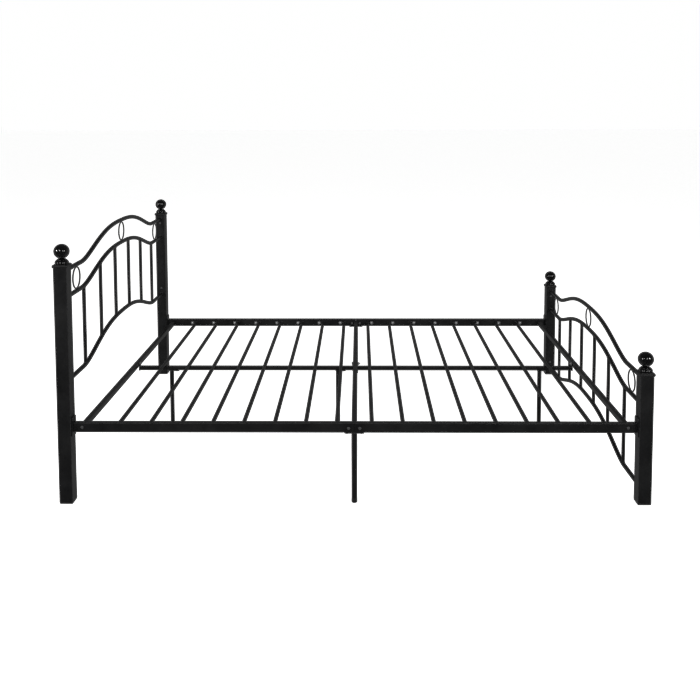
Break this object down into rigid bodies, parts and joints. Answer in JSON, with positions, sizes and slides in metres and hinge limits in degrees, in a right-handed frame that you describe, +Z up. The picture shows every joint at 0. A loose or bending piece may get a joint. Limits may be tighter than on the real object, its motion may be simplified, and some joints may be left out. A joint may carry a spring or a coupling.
{
  "type": "metal bed frame",
  "caption": "Black steel bed frame for a queen-size mattress, with arched tube headboard and footboard, ball finials, round slats and centre support legs.",
  "frame": {"origin": "on the floor at the middle of the bed's outline", "axes": "+X along the bed from the headboard to the footboard, +Y across the bed to the sleeper's left, +Z up"},
  "size_m": [2.144, 1.606, 0.9465],
  "materials": {
    "powder_coat": "satin black powder coat with a fine texture on steel tube and plate",
    "moulded_plastic": "satin black moulded plastic with a fine grain, for the post caps and foot plugs",
    "finial_gloss": "gloss black lacquer on the turned ball finials",
    "zinc_screw": "bright zinc plate on the slat screws, added in the visual model"
  },
  "bodies": {
    "root": {"cap_foot_left": "moulded_plastic", "cap_foot_right": "moulded_plastic", "cap_head_left": "moulded_plastic", "cap_head_right": "moulded_plastic", "cross_bar_centre": "powder_coat", "cross_bar_foot": "powder_coat", "cross_bar_head": "powder_coat", "finial_foot_left": "finial_gloss", "finial_foot_right": "finial_gloss", "finial_head_left": "finial_gloss", "finial_head_right": "finial_gloss", "foot_arch_bottom": "powder_coat", "foot_arch_middle": "powder_coat", "foot_arch_top": "powder_coat", "foot_spindle_1": "powder_coat", "foot_spindle_2": "powder_coat", "foot_spindle_3": "powder_coat", "foot_spindle_4": "powder_coat", "foot_spindle_5": "powder_coat", "foot_spindle_6": "powder_coat", "head_arch_bottom": "powder_coat", "head_arch_middle": "powder_coat", "head_arch_top": "powder_coat", "head_spindle_1": "powder_coat", "head_spindle_2": "powder_coat", "head_spindle_3": "powder_coat", "head_spindle_4": "powder_coat", "head_spindle_5": "powder_coat", "head_spindle_6": "powder_coat", "middle_leg_centre": "powder_coat", "middle_leg_foot": "powder_coat", "middle_leg_head": "powder_coat", "middle_rail_foot": "powder_coat", "middle_rail_head": "powder_coat", "post_foot_left": "powder_coat", "post_foot_right": "powder_coat", "post_head_left": "powder_coat", "post_head_right": "powder_coat", "side_leg_left": "powder_coat", "side_leg_right": "powder_coat", "side_rail_foot_left": "powder_coat", "side_rail_foot_right": "powder_coat", "side_rail_head_left": "powder_coat", "side_rail_head_right": "powder_coat", "slat_foot_01": "powder_coat", "slat_foot_02": "powder_coat", "slat_foot_03": "powder_coat", "slat_foot_04": "powder_coat", "slat_foot_05": "powder_coat", "slat_foot_06": "powder_coat", "slat_foot_07": "powder_coat", "slat_foot_08": "powder_coat", "slat_head_01": "powder_coat", "slat_head_02": "powder_coat", "slat_head_03": "powder_coat", "slat_head_04": "powder_coat", "slat_head_05": "powder_coat", "slat_head_06": "powder_coat", "slat_head_07": "powder_coat", "slat_head_08": "powder_coat"}
  },
  "joints": []
}
